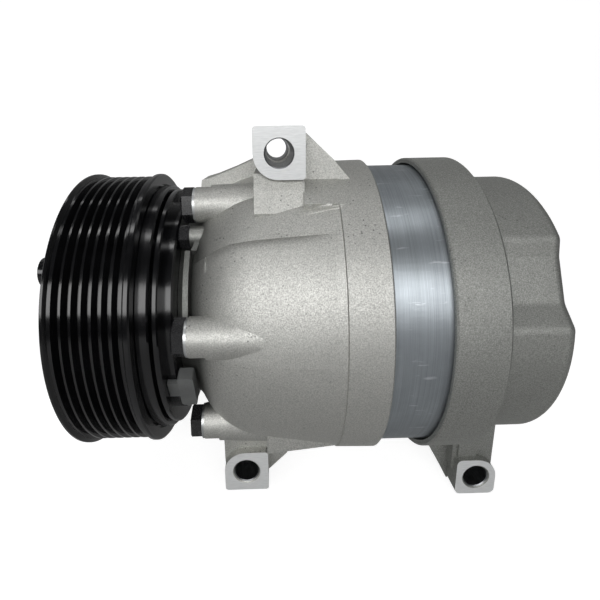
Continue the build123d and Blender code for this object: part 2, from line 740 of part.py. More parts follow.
WASHER_FRONT = LUG_FACE - WASHER_THICKNESS
HEAD_TIP = WASHER_FRONT - BOLT_HEAD_HEIGHT
with BuildPart() as through_bolts:
    for k in range(BOLT_COUNT):
        angle = BOLT_START + k * 360 / BOLT_COUNT
        y, z = polar(BOLT_CIRCLE, angle)
        with BuildSketch(Plane(origin=(HEAD_TIP, y, z), x_dir=(0, y, z), z_dir=(1, 0, 0))):
            RegularPolygon(BOLT_HEX / 2, 6, major_radius=False, rotation=30)
        extrude(amount=BOLT_HEAD_HEIGHT)
        with BuildSketch(Plane(origin=(WASHER_FRONT, y, z), z_dir=(1, 0, 0))):
            Circle(BOLT_RADIUS)
        extrude(amount=BOLT_END - WASHER_FRONT)
    chamfer(through_bolts.faces().group_by(Axis.X)[0].edges(), 0.6)
save(through_bolts.part, "through_bolts")

washer_discs = bolt_cylinders(WASHER_FRONT, LUG_FACE, WASHER_RADIUS)
with BuildPart() as bolt_washers:
    add(washer_discs)
    with BuildSketch(at(WASHER_FRONT)):
        with PolarLocations(BOLT_CIRCLE, BOLT_COUNT, start_angle=BOLT_START):
            Circle(BOLT_HOLE_RADIUS)
    extrude(amount=WASHER_THICKNESS, mode=Mode.SUBTRACT)
save(bolt_washers.part, "bolt_washers")


# ---------------------------------------------------------------- clutch: coil

COIL_PLATE_FRONT = -64.9
COIL_PLATE_STEP = -62.6
COIL_PLATE_RADIUS = 55.0
COIL_NECK_RADIUS = 48.8
COIL_OUTER = 51.8
COIL_INNER = 31.9
COIL_WALL = 2.0
COIL_FRONT = -93.6

save(turned([
    (COIL_FRONT, COIL_INNER),
    (COIL_FRONT, COIL_INNER + COIL_WALL),
    (COIL_PLATE_FRONT - 0.3, COIL_INNER + COIL_WALL),
    (COIL_PLATE_FRONT - 0.3, COIL_OUTER - COIL_WALL),
    (COIL_FRONT, COIL_OUTER - COIL_WALL),
    (COIL_FRONT, COIL_OUTER),
    (COIL_PLATE_FRONT, COIL_OUTER),
    (COIL_PLATE_FRONT, COIL_PLATE_RADIUS - 0.5),
    (COIL_PLATE_FRONT + 0.5, COIL_PLATE_RADIUS),
    (COIL_PLATE_STEP - 0.5, COIL_PLATE_RADIUS),
    (COIL_PLATE_STEP, COIL_PLATE_RADIUS - 0.5),
    (COIL_PLATE_STEP, COIL_NECK_RADIUS),
    (WALL_FRONT - 0.8, COIL_NECK_RADIUS),
    (WALL_FRONT - 0.1, COIL_NECK_RADIUS - 0.7),
    (WALL_FRONT - 0.1, COIL_SEAT_RADIUS + FIT),
    (COIL_PLATE_FRONT - 0.1, COIL_SEAT_RADIUS + FIT),
    (COIL_PLATE_FRONT - 0.1, COIL_INNER),
]), "coil_housing")
save(
    ring(
        COIL_FRONT + 1.1,
        COIL_PLATE_FRONT - 0.4,
        COIL_INNER + COIL_WALL + 0.1,
        COIL_OUTER - COIL_WALL - 0.1,
    ),
    "coil_winding",
)


def snap_ring(front, thickness, inner, outer, gap):
    """An open retaining ring about X."""
    with BuildPart() as clip:
        with BuildSketch(at(front)):
            Circle(outer)
            Circle(inner, mode=Mode.SUBTRACT)
            with Locations(((inner + outer) / 2, 0)):
                Rectangle(outer - inner + 6, gap, mode=Mode.SUBTRACT)
        extrude(amount=thickness)
    return clip.part


save(snap_ring(-66.35, 1.2, COIL_SEAT_RADIUS - 0.9, COIL_SEAT_RADIUS + 3.0, 8.0), "coil_snap_ring")
save(snap_ring(BEARING_FRONT - 1.3, 1.25, NOSE_RADIUS - 0.9, NOSE_RADIUS + 2.2, 7.0), "bearing_snap_ring")
save(snap_ring(-94.0, 1.2, SEAL_SEAT_RADIUS - 3.0, SEAL_SEAT_RADIUS + 0.8, 6.0), "seal_snap_ring")

CONNECTOR_ANGLE = 202.0
CONNECTOR_INNER = 46.6
CONNECTOR_OUTER = 52.0
CONNECTOR_HALF = 8.5
CONNECTOR_X = (-57.9, -51.7)
CONNECTOR_FOOT = -62.4
CONNECTOR_FOOT_HEIGHT = 2.0
CONNECTOR_OVERLAP = 0.2
CONNECTOR_CORNER = 1.2
CONNECTOR_FLOOR = 1.0
POCKET_WIDTH = 4.4
POCKET_RIM = 5.0
POCKET_SHIFT = -4.5
connector_plane = radial(CONNECTOR_ANGLE, (CONNECTOR_X[0] + CONNECTOR_X[1]) / 2, CONNECTOR_INNER)
foot_middle = (CONNECTOR_FOOT + CONNECTOR_X[0] + CONNECTOR_OVERLAP) / 2
foot_plane = radial(CONNECTOR_ANGLE, foot_middle, COIL_NECK_RADIUS + FIT)
with BuildPart() as coil_connector:
    with BuildSketch(connector_plane):
        RectangleRounded(CONNECTOR_X[1] - CONNECTOR_X[0], 2 * CONNECTOR_HALF, CONNECTOR_CORNER)
    extrude(amount=CONNECTOR_OUTER - CONNECTOR_INNER)
    with BuildSketch(foot_plane):
        Rectangle(CONNECTOR_X[0] - CONNECTOR_FOOT + CONNECTOR_OVERLAP, CONNECTOR_HALF)
    extrude(amount=CONNECTOR_FOOT_HEIGHT)
    with BuildSketch(connector_plane.offset(CONNECTOR_FLOOR)):
        with Locations((0, POCKET_SHIFT)):
            Rectangle(POCKET_WIDTH, 2 * CONNECTOR_HALF - POCKET_RIM)
    extrude(amount=CONNECTOR_OUTER - CONNECTOR_INNER - 2 * CONNECTOR_FLOOR, mode=Mode.SUBTRACT)
save(coil_connector.part, "coil_connector")

with BuildPart() as coil_terminals:
    with BuildSketch(connector_plane.offset(2.2)):
        with GridLocations(2.4, 0, 2, 1):
            with Locations((0, -2.6)):
                Rectangle(0.8, 8.0)
    extrude(amount=0.9)
save(coil_terminals.part, "coil_terminals")

with BuildPart() as lead_clamp_screw:
    with BuildSketch(at(CLAMP_FACE - CLAMP_HEAD_HEIGHT)):
        with Locations(CLAMP_POINT):
            RegularPolygon(CLAMP_HEAD_APOTHEM, 6, major_radius=False)
    extrude(amount=CLAMP_HEAD_HEIGHT)
    with BuildSketch(at(CLAMP_FACE)):
        with Locations(CLAMP_POINT):
            Circle(CLAMP_HOLE_RADIUS - FIT)
    extrude(amount=5.5)
    chamfer(lead_clamp_screw.faces().sort_by(Axis.X)[0].edges(), 0.5)
save(lead_clamp_screw.part, "lead_clamp_screw")


# ---------------------------------------------------------------- clutch: pulley and its bearing

LIP_INNER = 58.6


def rib_profile():
    """The grooved outside of the pulley, front rim to rear rim."""
    points = [(PULLEY_FRONT, RIM_RADIUS - 0.5), (PULLEY_FRONT + 0.4, RIM_RADIUS)]
    points.append((PULLEY_FRONT + 1.2, RIM_RADIUS))
    points.append((FIRST_CREST - 0.9, CREST_RADIUS))
    for k in range(RIB_COUNT):
        crest = FIRST_CREST + k * RIB_PITCH
        root = crest + RIB_PITCH / 2
        points += [
            (crest + CREST_HALF, CREST_RADIUS),
            (root - ROOT_HALF, CREST_RADIUS - RIB_DEPTH),
            (root + ROOT_HALF, CREST_RADIUS - RIB_DEPTH),
            (crest + RIB_PITCH - CREST_HALF, CREST_RADIUS),
        ]
    last = FIRST_CREST + RIB_COUNT * RIB_PITCH
    points += [(last + CREST_HALF, CREST_RADIUS), (-72.4, RIM_RADIUS - 0.3), (-71.0, RIM_RADIUS - 0.3)]
    return points


pulley_profile = rib_profile() + [
    (PULLEY_RIM_REAR, RIM_RADIUS - 0.9),
    (PULLEY_RIM_REAR, PULLEY_STEP_RADIUS + 0.8),
    (PULLEY_RIM_REAR - 1.4, PULLEY_STEP_RADIUS + 0.8),
    (PULLEY_RIM_REAR - 1.4, PULLEY_STEP_RADIUS - 1.0),
    (PULLEY_RIM_REAR + 0.3, PULLEY_STEP_RADIUS - 1.0),
    (PULLEY_RIM_REAR + 0.3, PULLEY_STEP_RADIUS),
    (PULLEY_REAR - 0.6, PULLEY_STEP_RADIUS),
    (PULLEY_REAR, PULLEY_STEP_RADIUS - 0.6),
    (PULLEY_REAR, CHANNEL_OUTER),
    (CHANNEL_FLOOR, CHANNEL_OUTER),
    (CHANNEL_FLOOR, CHANNEL_INNER),
    (-68.6, CHANNEL_INNER),
    (-68.6, BEARING_OUTER),
    (BEARING_FRONT - 0.2, BEARING_OUTER),
    (BEARING_FRONT - 0.2, BEARING_OUTER - 1.8),
    (-93.8, BEARING_OUTER - 1.8),
    (-95.6, BEARING_OUTER + 0.5),
    (-96.8, BEARING_OUTER + 6.0),
    (FRICTION_FACE, BEARING_OUTER + 7.0),
    (FRICTION_FACE, 55.9),
    (FRICTION_FACE + 1.4, 56.6),
    (FRICTION_FACE + 1.4, LIP_INNER),
    (PULLEY_FRONT + 0.4, LIP_INNER),
    (PULLEY_FRONT, LIP_INNER + 0.4),
]
with BuildPart() as pulley:
    with BuildSketch(Plane.XY):
        with BuildLine():
            Polyline(*pulley_profile, close=True)
        make_face()
    revolve(axis=Axis.X)
    # flux slots through the friction face, two rings with bridges
    with BuildSketch(at(FRICTION_FACE - 1)):
        for middle, bridges in ((40.0, 4), (47.5, 6)):
            Circle(middle + 0.9)
            Circle(middle - 0.9, mode=Mode.SUBTRACT)
            with PolarLocations(middle, bridges, start_angle=30):
                Rectangle(4.0, 7.0, mode=Mode.SUBTRACT)
    extrude(amount=8, mode=Mode.SUBTRACT)
save(pulley.part, "pulley")

RACE_INNER = (NOSE_RADIUS + FIT, 20.6)
RACE_OUTER = (22.9, BEARING_OUTER - FIT)


def race(inner, outer):
    """One bearing race with a groove for each row of balls."""
    with BuildPart() as body:
        with BuildSketch(Plane.XY):
            with BuildLine():
                Polyline(
                    (BEARING_FRONT, inner),
                    (BEARING_REAR, inner),
                    (BEARING_REAR, outer),
                    (BEARING_FRONT, outer),
                    close=True,
                )
            make_face()
            with Locations(*[(x, BALL_CIRCLE) for x in BALL_ROWS]):
                Circle(BALL_RADIUS + 0.1, mode=Mode.SUBTRACT)
        revolve(axis=Axis.X)
    return body.part


save(race(*RACE_INNER), "bearing_inner_race")
save(race(*RACE_OUTER), "bearing_outer_race")

with BuildPart() as bearing_balls:
    for x in BALL_ROWS:
        with Locations(Plane(origin=(x, 0, 0), x_dir=(0, 1, 0), z_dir=(1, 0, 0))):
            with PolarLocations(BALL_CIRCLE, BALLS_PER_ROW):
                Sphere(BALL_RADIUS)
save(bearing_balls.part, "bearing_balls")

with BuildPart() as bearing_seals:
    for front in (BEARING_FRONT + 0.2, BEARING_REAR - 1.0):
        with BuildSketch(at(front)):
            Circle(RACE_OUTER[0] - 0.02)
            Circle(RACE_INNER[1] + 0.3, mode=Mode.SUBTRACT)
        extrude(amount=0.8)
save(bearing_seals.part, "bearing_seals")


# ---------------------------------------------------------------- clutch: hub, springs and plate

ARMATURE_REAR = FRICTION_FACE - ARMATURE_GAP
ARMATURE_FRONT = ARMATURE_REAR - ARMATURE_THICKNESS
ARM_REAR = ARMATURE_FRONT - 1.0
ARM_FRONT = ARM_REAR - 1.8
CUP_FRONT = ARM_FRONT - 1.4
RIVET_TIP = ARM_FRONT - 2.4
hub_boss = turned([
    (HUB_FRONT, SHAFT_NOSE_RADIUS + FIT),
    (HUB_REAR, SHAFT_NOSE_RADIUS + FIT),
    (HUB_REAR, 12.5),
    (ARM_REAR, 12.5),
    (ARM_REAR, 24.0),
    (ARM_FRONT, 24.0),
    (ARM_FRONT, 10.2),
    (HUB_FRONT, 10.2),
])
with BuildPart() as clutch_hub:
    add(hub_boss)
    with BuildSketch(at(ARM_FRONT)):
        with PolarLocations(RIVET_CIRCLE / 2 + 8, RIVET_COUNT, start_angle=RIVET_START):
            Rectangle(RIVET_CIRCLE - 16, 11)
        with PolarLocations(RIVET_CIRCLE, RIVET_COUNT, start_angle=RIVET_START):
            Circle(6.0)
    extrude(amount=ARM_REAR - ARM_FRONT)
    with BuildSketch(at(CUP_FRONT)):
        with PolarLocations(RIVET_CIRCLE, RIVET_COUNT, start_angle=RIVET_START):
            Circle(5.8)
    extrude(amount=ARM_FRONT - CUP_FRONT)
    with BuildSketch(at(CUP_FRONT)):
        with PolarLocations(RIVET_CIRCLE, RIVET_COUNT, start_angle=RIVET_START):
            Circle(3.7)
    extrude(amount=ARM_FRONT - CUP_FRONT, mode=Mode.SUBTRACT)
    with BuildSketch(at(CUP_FRONT)):
        with PolarLocations(RIVET_CIRCLE, RIVET_COUNT, start_angle=RIVET_START):
            Circle(2.8)
    extrude(amount=ARM_REAR - CUP_FRONT, mode=Mode.SUBTRACT)
    with BuildSketch(at(HUB_FRONT)):
        with Locations((0, SHAFT_NOSE_RADIUS)):
            Rectangle(3.1, 3.2)
    extrude(amount=HUB_REAR - HUB_FRONT, mode=Mode.SUBTRACT)
save(clutch_hub.part, "clutch_hub")

with BuildPart() as clutch_plate:
    with BuildSketch(at(ARMATURE_FRONT)):
        Circle(55.4)
        Circle(32.0, mode=Mode.SUBTRACT)
        Circle(44.6, mode=Mode.SUBTRACT)
        Circle(42.8)
        Circle(32.0, mode=Mode.SUBTRACT)
        with PolarLocations(43.7, RIVET_COUNT, start_angle=RIVET_START + 60):
            Rectangle(4.0, 9.0)
    extrude(amount=ARMATURE_THICKNESS)
save(clutch_plate.part, "clutch_plate")

with BuildPart() as plate_rivets:
    for front, rear, radius in (
        (RIVET_TIP, ARM_FRONT - 0.7, 3.3),
        (ARM_FRONT - 0.7, ARMATURE_FRONT - 0.8, 2.4),
        (ARMATURE_FRONT - 0.8, ARMATURE_FRONT, 4.2),
    ):
        with BuildSketch(at(front)):
            with PolarLocations(RIVET_CIRCLE, RIVET_COUNT, start_angle=RIVET_START):
                Circle(radius)
        extrude(amount=rear - front)
    chamfer(plate_rivets.faces().group_by(Axis.X)[0].edges(), 0.7)
save(plate_rivets.part, "plate_rivets")


# ---------------------------------------------------------------- shaft group

KEY_LENGTH = (-101.9, -97.3)
with BuildPart() as drive_shaft:
    with BuildSketch(Plane.XY):
        with BuildLine():
            Polyline(
                (SHAFT_FRONT, 0),
                (SHAFT_FRONT, THREAD_RADIUS - 0.5),
                (SHAFT_FRONT + 0.5, THREAD_RADIUS),
                (HUB_FRONT, THREAD_RADIUS),
                (HUB_FRONT, SHAFT_NOSE_RADIUS),
                (-81.0, SHAFT_NOSE_RADIUS),
                (-80.0, SHAFT_RADIUS),
                (SHAFT_REAR - 0.5, SHAFT_RADIUS),
                (SHAFT_REAR, SHAFT_RADIUS - 0.5),
                (SHAFT_REAR, 0),
                close=True,
            )
        make_face()
    revolve(axis=Axis.X)
    with BuildSketch(at(KEY_LENGTH[0] - 0.05)):
        with Locations((0, SHAFT_NOSE_RADIUS)):
            Rectangle(3.1, 3.2)
    extrude(amount=KEY_LENGTH[1] - KEY_LENGTH[0] + 0.1, mode=Mode.SUBTRACT)
save(drive_shaft.part, "drive_shaft")

with BuildPart() as shaft_key:
    with BuildSketch(at(KEY_LENGTH[0])):
        with Locations((0, SHAFT_NOSE_RADIUS)):
            Rectangle(3.0, 3.0)
    extrude(amount=KEY_LENGTH[1] - KEY_LENGTH[0])
save(shaft_key.part, "shaft_key")

with BuildPart() as shaft_nut:
    with BuildSketch(at(SHAFT_FRONT + 0.5)):
        RegularPolygon(7.5, 6, major_radius=False)
        Circle(THREAD_RADIUS + FIT, mode=Mode.SUBTRACT)
    extrude(amount=4.4)
save(shaft_nut.part, "shaft_nut")

save(turned([
    (-92.6, SHAFT_NOSE_RADIUS + 0.08),
    (-90.2, SHAFT_NOSE_RADIUS + 0.08),
    (-87.0, SHAFT_NOSE_RADIUS + 2.5),
    (-84.2, SHAFT_NOSE_RADIUS + 0.08),
    (-82.2, SHAFT_NOSE_RADIUS + 0.08),
    (-82.2, SEAL_SEAT_RADIUS - FIT),
    (-92.6, SEAL_SEAT_RADIUS - FIT),
]), "shaft_seal")


def needle_bearing(front, length, outer, roller_circle, roller_radius):
    """A drawn cup with its needle rollers."""
    cup_inner = roller_circle + roller_radius + 0.1
    with BuildPart() as bearing:
        with BuildSketch(at(front)):
            Circle(outer - FIT)
            Circle(cup_inner, mode=Mode.SUBTRACT)
        extrude(amount=length)
        with BuildSketch(at(front + 1)):
            with PolarLocations(roller_circle, 18):
                Circle(roller_radius)
        extrude(amount=length - 2)
    return bearing.part


save(needle_bearing(-62.0, 13.0, BEARING_SEAT_RADIUS, 8.85, 1.2), "front_needle_bearing")
save(needle_bearing(27.0, 11.0, REAR_BEARING_SEAT, 8.7, 1.05), "rear_needle_bearing")
save(ring(WALL_INSIDE + 0.05, LUG_PLATE_FRONT - 0.15, 13.0, 27.0), "front_thrust_bearing")

with BuildPart() as drive_lug:
    with BuildSketch(at(LUG_PLATE_FRONT)):
        Circle(30.0)
        Circle(SHAFT_RADIUS + FIT, mode=Mode.SUBTRACT)
    extrude(amount=LUG_PLATE_REAR - LUG_PLATE_FRONT)
    with BuildSketch(at(LUG_PLATE_REAR)):
        with Locations((8, 24), (-8, 24)):
            Rectangle(5, 8)
    extrude(amount=1.5)
save(drive_lug.part, "drive_lug")

SPRING_RADIUS = 10.6
SPRING_WIRE = 0.9
SPRING_PITCH = 4.2
SPRING_START = LUG_PLATE_REAR + SPRING_WIRE + 0.1
SPRING_LENGTH = 16.8
with BuildPart() as destroke_spring:
    with BuildLine():
        coil = Helix(
            SPRING_PITCH,
            SPRING_LENGTH,
            SPRING_RADIUS,
            center=(SPRING_START, 0, 0),
            direction=(1, 0, 0),
        )
    with BuildSketch(Plane(origin=coil @ 0, z_dir=coil % 0)):
        Circle(SPRING_WIRE)
    sweep()
save(destroke_spring.part, "destroke_spring")


# ---------------------------------------------------------------- swash group

with BuildPart() as pivot_sleeve:
    with Locations((BALL_SLEEVE_X, 0, 0)):
        Sphere(BALL_SLEEVE_RADIUS)
    with BuildSketch(at(BALL_SLEEVE_X - 10)):
        Circle(2 * BALL_SLEEVE_RADIUS)
    extrude(amount=20, mode=Mode.INTERSECT)
    with BuildSketch(at(BALL_SLEEVE_X - 11)):
        Circle(SHAFT_RADIUS + RUNNING)
    extrude(amount=22, mode=Mode.SUBTRACT)
save(pivot_sleeve.part, "pivot_sleeve")

HUB_TUBE_RADIUS = 21.9
hub_front = BALL_SLEEVE_X - 8.5
hub_rear = BALL_SLEEVE_X + 7.5
with BuildPart() as swash_hub:
    with BuildSketch(at(hub_front)):
        Circle(34.0)
    extrude(amount=2.3)
    with BuildSketch(at(hub_front)):
        Circle(HUB_TUBE_RADIUS)
    extrude(amount=hub_rear - hub_front)
    with Locations((BALL_SLEEVE_X, 0, 0)):
        Sphere(BALL_SLEEVE_RADIUS + RUNNING, mode=Mode.SUBTRACT)
save(swash_hub.part, "swash_hub")
save(ring(hub_front + 2.4, BALL_SLEEVE_X - WOBBLE_HALF - 0.05, 23.0, 33.0), "wobble_thrust_bearing")
save(
    ring(BALL_SLEEVE_X + WOBBLE_HALF + 0.1, BALL_SLEEVE_X + WOBBLE_HALF + 2.1, HUB_TUBE_RADIUS + 0.02, 25.0),
    "hub_retaining_ring",
)

BALL_CENTRE_X = BALL_SLEEVE_X + WOBBLE_HALF + 1.0
ROD_CUP_RADIUS = 7.6
GUIDE_RADIUS = 46.3
GUIDE_BALL = 2.7
GUIDE_PIN = 1.5
with BuildPart() as wobble_plate:
    with BuildSketch(at(BALL_SLEEVE_X - WOBBLE_HALF)):
        Circle(WOBBLE_RADIUS)
        Circle(HUB_TUBE_RADIUS + RUNNING, mode=Mode.SUBTRACT)
    extrude(amount=2 * WOBBLE_HALF)
    with Locations(Plane(origin=(BALL_CENTRE_X, 0, 0), x_dir=(0, 1, 0), z_dir=(1, 0, 0))):
        with PolarLocations(CYLINDER_CIRCLE, CYLINDERS, start_angle=CYLINDER_START):
            Sphere(ROD_CUP_RADIUS, mode=Mode.SUBTRACT)
    with BuildSketch(Plane(origin=(BALL_SLEEVE_X, 0, -WOBBLE_RADIUS - 1), z_dir=(0, 0, 1))):
        Circle(GUIDE_PIN + FIT)
    extrude(amount=5.2, mode=Mode.SUBTRACT)
save(wobble_plate.part, "wobble_plate")

with BuildPart() as guide_ball:
    with Locations((BALL_SLEEVE_X, 0, -GUIDE_RADIUS)):
        Sphere(GUIDE_BALL)
    with BuildSketch(Plane(origin=(BALL_SLEEVE_X, 0, -GUIDE_RADIUS), z_dir=(0, 0, 1))):
        Circle(GUIDE_PIN)
    extrude(amount=GUIDE_RADIUS - WOBBLE_RADIUS + 3.8)
save(guide_ball.part, "guide_ball")

with BuildPart() as guide_rails:
    with BuildSketch(at(-26.0)):
        with Locations((4.2, -46.6), (-4.2, -46.6)):
            Rectangle(2.4, 4.8)
    extrude(amount=32)
save(guide_rails.part, "guide_rails")


# ---------------------------------------------------------------- pistons

ROD_RADIUS = 2.8
ROD_FOOT = 3.0
ROD_FOOT_RADIUS = 5.2
piston_front = PISTON_TOP - PISTON_LENGTH
crown_front = PISTON_TOP - 7.4
rod_length = crown_front - BALL_CENTRE_X
neck = (ROD_BALL ** 2 - ROD_RADIUS ** 2) ** 0.5
for number in range(CYLINDERS):
    y, z = polar(CYLINDER_CIRCLE, CYLINDER_START + number * 360 / CYLINDERS)
    with BuildPart() as piston:
        with BuildSketch(Plane(origin=(piston_front, y, z), z_dir=(1, 0, 0))):
            Circle(CYLINDER_RADIUS)
        extrude(amount=PISTON_LENGTH)
        with BuildSketch(Plane(origin=(piston_front, y, z), z_dir=(1, 0, 0))):
            Circle(CYLINDER_RADIUS - 2.6)
        extrude(amount=crown_front - piston_front, mode=Mode.SUBTRACT)
        for groove in (PISTON_TOP - 3.2, PISTON_TOP - 6.4):
            with BuildSketch(Plane(origin=(groove, y, z), z_dir=(1, 0, 0))):
                Circle(CYLINDER_RADIUS + 1)
                Circle(CYLINDER_RADIUS - 1.0, mode=Mode.SUBTRACT)
            extrude(amount=1.5, mode=Mode.SUBTRACT)
    save(piston.part, f"piston_{number + 1}")
    # the ball, shank and foot of the rod are one turned outline
    with BuildPart() as rod:
        with BuildSketch(Plane.XY):
            with BuildLine():
                ThreePointArc((-ROD_BALL, 0), (0, ROD_BALL), (neck, ROD_RADIUS))
                Polyline(
                    (neck, ROD_RADIUS),
                    (rod_length - ROD_FOOT, ROD_RADIUS),
                    (rod_length - ROD_FOOT, ROD_FOOT_RADIUS),
                    (rod_length, ROD_FOOT_RADIUS),
                    (rod_length, 0),
                    (-ROD_BALL, 0),
                )
            make_face()
        revolve(axis=Axis.X)
    save(Pos(BALL_CENTRE_X, y, z) * rod.part, f"piston_rod_{number + 1}")
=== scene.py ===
"""Looks of a belt-driven air conditioning compressor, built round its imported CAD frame."""

import json
import math

import bpy
from mathutils import Matrix, Vector
from mathutils.bvhtree import BVHTree


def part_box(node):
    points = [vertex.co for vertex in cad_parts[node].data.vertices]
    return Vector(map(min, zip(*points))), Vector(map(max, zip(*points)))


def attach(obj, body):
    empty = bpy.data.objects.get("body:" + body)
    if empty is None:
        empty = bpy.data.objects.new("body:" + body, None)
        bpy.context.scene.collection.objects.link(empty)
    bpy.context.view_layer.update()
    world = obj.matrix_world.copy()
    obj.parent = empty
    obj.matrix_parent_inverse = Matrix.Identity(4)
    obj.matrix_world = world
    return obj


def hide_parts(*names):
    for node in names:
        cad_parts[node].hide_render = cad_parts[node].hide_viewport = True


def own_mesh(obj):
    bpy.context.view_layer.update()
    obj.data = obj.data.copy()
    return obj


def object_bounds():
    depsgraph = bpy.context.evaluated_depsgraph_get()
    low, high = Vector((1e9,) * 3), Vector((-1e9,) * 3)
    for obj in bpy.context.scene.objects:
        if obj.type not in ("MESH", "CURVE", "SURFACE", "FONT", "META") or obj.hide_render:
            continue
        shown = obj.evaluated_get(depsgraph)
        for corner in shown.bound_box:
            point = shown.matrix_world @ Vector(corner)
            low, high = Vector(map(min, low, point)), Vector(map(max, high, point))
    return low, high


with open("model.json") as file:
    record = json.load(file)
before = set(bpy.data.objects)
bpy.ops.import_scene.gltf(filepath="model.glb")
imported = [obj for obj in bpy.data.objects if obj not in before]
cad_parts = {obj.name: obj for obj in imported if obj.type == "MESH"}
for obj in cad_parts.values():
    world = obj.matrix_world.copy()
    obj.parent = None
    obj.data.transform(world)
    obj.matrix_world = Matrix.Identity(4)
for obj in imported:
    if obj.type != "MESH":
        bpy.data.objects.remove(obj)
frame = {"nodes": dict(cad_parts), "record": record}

CAD_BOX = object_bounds()
MM = 0.001
MOUNTS = {m["name"]: m for m in frame["record"]["mounts"]}


# ------------------------------------------------------------------ where the masks on the castings lie

# The outer faces of the mounting ears lie at two places along Y, and those of the bolt lugs at one along X.
EAR_FACES = (-0.035, 0.045)
LUG_FACE = -0.0508
BORE_MARGIN = 0.0004
BORE_WALL = MOUNTS["upper_ear_bore"]["dims"]["r_mm"] * MM + BORE_MARGIN
UPPER_BORE = MOUNTS["upper_ear_bore"]["pos_m"]
LOWER_FRONT_BORE = MOUNTS["lower_front_ear_bore"]["pos_m"]
LOWER_REAR_BORE = MOUNTS["lower_rear_ear_bore"]["pos_m"]
MASK_REACH = 0.0002
LEAST_FACING = 0.96


# ------------------------------------------------------------------ a small kit for node materials

class Shader:
    """One procedural material: a Principled shader and the nodes that feed it, in the model's metres."""

    def __init__(self, name, colour, roughness, metallic):
        """Starts with plain values, which stand wherever no node feeds them."""
        self.material = bpy.data.materials.new(name)
        self.material.use_nodes = True
        self.tree = self.material.node_tree
        self.bsdf = self.tree.nodes["Principled BSDF"]
        self.set("Base Color", (*colour, 1.0))
        self.set("Roughness", roughness)
        self.set("Metallic", metallic)
        coordinates = self.tree.nodes.new("ShaderNodeTexCoord")
        self.place = coordinates.outputs["Object"]
        self.normal = coordinates.outputs["Normal"]

    def set(self, socket, value):
        """Gives one input of the Principled shader the same value all over."""
        self.bsdf.inputs[socket].default_value = value

    def feed(self, socket, value):
        """Links a value to one input of the Principled shader."""
        self.tree.links.new(value, self.bsdf.inputs[socket])

    def node(self, kind, inputs, **settings):
        """A new node with its inputs linked or filled in, and its settings."""
        made = self.tree.nodes.new(kind)
        for key, value in settings.items():
            setattr(made, key, value)
        for key, value in inputs.items():
            if isinstance(value, bpy.types.NodeSocket):
                self.tree.links.new(value, made.inputs[key])
            else:
                made.inputs[key].default_value = value
        return made

    def math(self, operation, first, second=0.0, third=0.0):
        """The result of one operation on up to three numbers."""
        return self.node("ShaderNodeMath", {0: first, 1: second, 2: third}, operation=operation).outputs[0]

    def stretched(self, factors):
        """The place on the object with each axis scaled, so that a pattern runs long or short."""
        return self.node("ShaderNodeVectorMath", {0: self.place, 1: factors}, operation="MULTIPLY").outputs[0]

    def noise(self, scale, detail=2.0, roughness=0.5, place=None):
        """Soft noise, with scale features to a metre."""
        inputs = {"Vector": place or self.place, "Scale": scale, "Detail": detail, "Roughness": roughness}
        return self.node("ShaderNodeTexNoise", inputs).outputs["Fac"]

    def cells(self, scale):
        """The distance from the middle of the nearest of scattered cells."""
        inputs = {"Vector": self.place, "Scale": scale}
        return self.node("ShaderNodeTexVoronoi", inputs).outputs["Distance"]

    def fit(self, value, low, high, to_low=0.0, to_high=1.0):
        """A value taken from low..high to to_low..to_high, and kept there."""
        inputs = {"Value": value, "From Min": low, "From Max": high, "To Min": to_low, "To Max": to_high}
        return self.node("ShaderNodeMapRange", inputs).outputs["Result"]

    def mix(self, share, first, second, kind="RGBA"):
        """A colour between two colours, or a vector between two vectors."""
        made = self.tree.nodes.new("ShaderNodeMix")
        made.data_type = kind
        sockets = [s for s in made.inputs if s.enabled]
        for socket, value in zip(sockets, (share, first, second)):
            if isinstance(value, bpy.types.NodeSocket):
                self.tree.links.new(value, socket)
            elif isinstance(value, tuple):
                socket.default_value = (*value, 1.0)
            else:
                socket.default_value = value
        return [s for s in made.outputs if s.enabled][0]

    def blend(self, share, first, second):
        """A number between two numbers."""
        span = self.math("SUBTRACT", second, first)
        return self.math("MULTIPLY_ADD", share, span, first)

    def bump(self, height, depth, under=None):
        """Raises the surface by up to depth, in metres, on top of an earlier bump."""
        inputs = {"Height": height, "Distance": depth, "Strength": 1.0}
        if under is not None:
            inputs["Normal"] = under
        return self.node("ShaderNodeBump", inputs).outputs["Normal"]

    def along(self, letter, vector):
        """One of the three numbers of a vector."""
        return self.node("ShaderNodeSeparateXYZ", {0: vector}).outputs[letter]

    def either(self, masks):
        """1 where any of the masks is 1."""
        found = masks[0]
        for mask in masks[1:]:
            found = self.math("MAXIMUM", found, mask)
        return found

    def on_planes(self, letter, places):
        """1 on the flat faces at these places along one axis, and 0 elsewhere."""
        value = self.along(letter, self.place)
        here = self.either([self.math("COMPARE", value, place, MASK_REACH) for place in places])
        tilt = self.math("ABSOLUTE", self.along(letter, self.normal))
        facing = self.math("GREATER_THAN", tilt, LEAST_FACING)
        return self.math("MULTIPLY", here, facing)

    def from_shaft(self):
        """The distance from the shaft's axis."""
        flat = self.stretched((0.0, 1.0, 1.0))
        return self.node("ShaderNodeVectorMath", {0: flat}, operation="LENGTH").outputs["Value"]

    def in_bore(self, centre):
        """1 in and just round a mounting bore, which runs along Y through centre."""
        here = self.stretched((1.0, 0.0, 1.0))
        middle = (centre[0], 0.0, centre[2])
        gap = self.node("ShaderNodeVectorMath", {0: here, 1: middle}, operation="DISTANCE").outputs["Value"]
        return self.math("LESS_THAN", gap, BORE_WALL)


def paint(material, node):
    """Gives a CAD node a material in place of the plain one."""
    slots = frame["nodes"][node].data.materials
    slots.clear()
    slots.append(material)


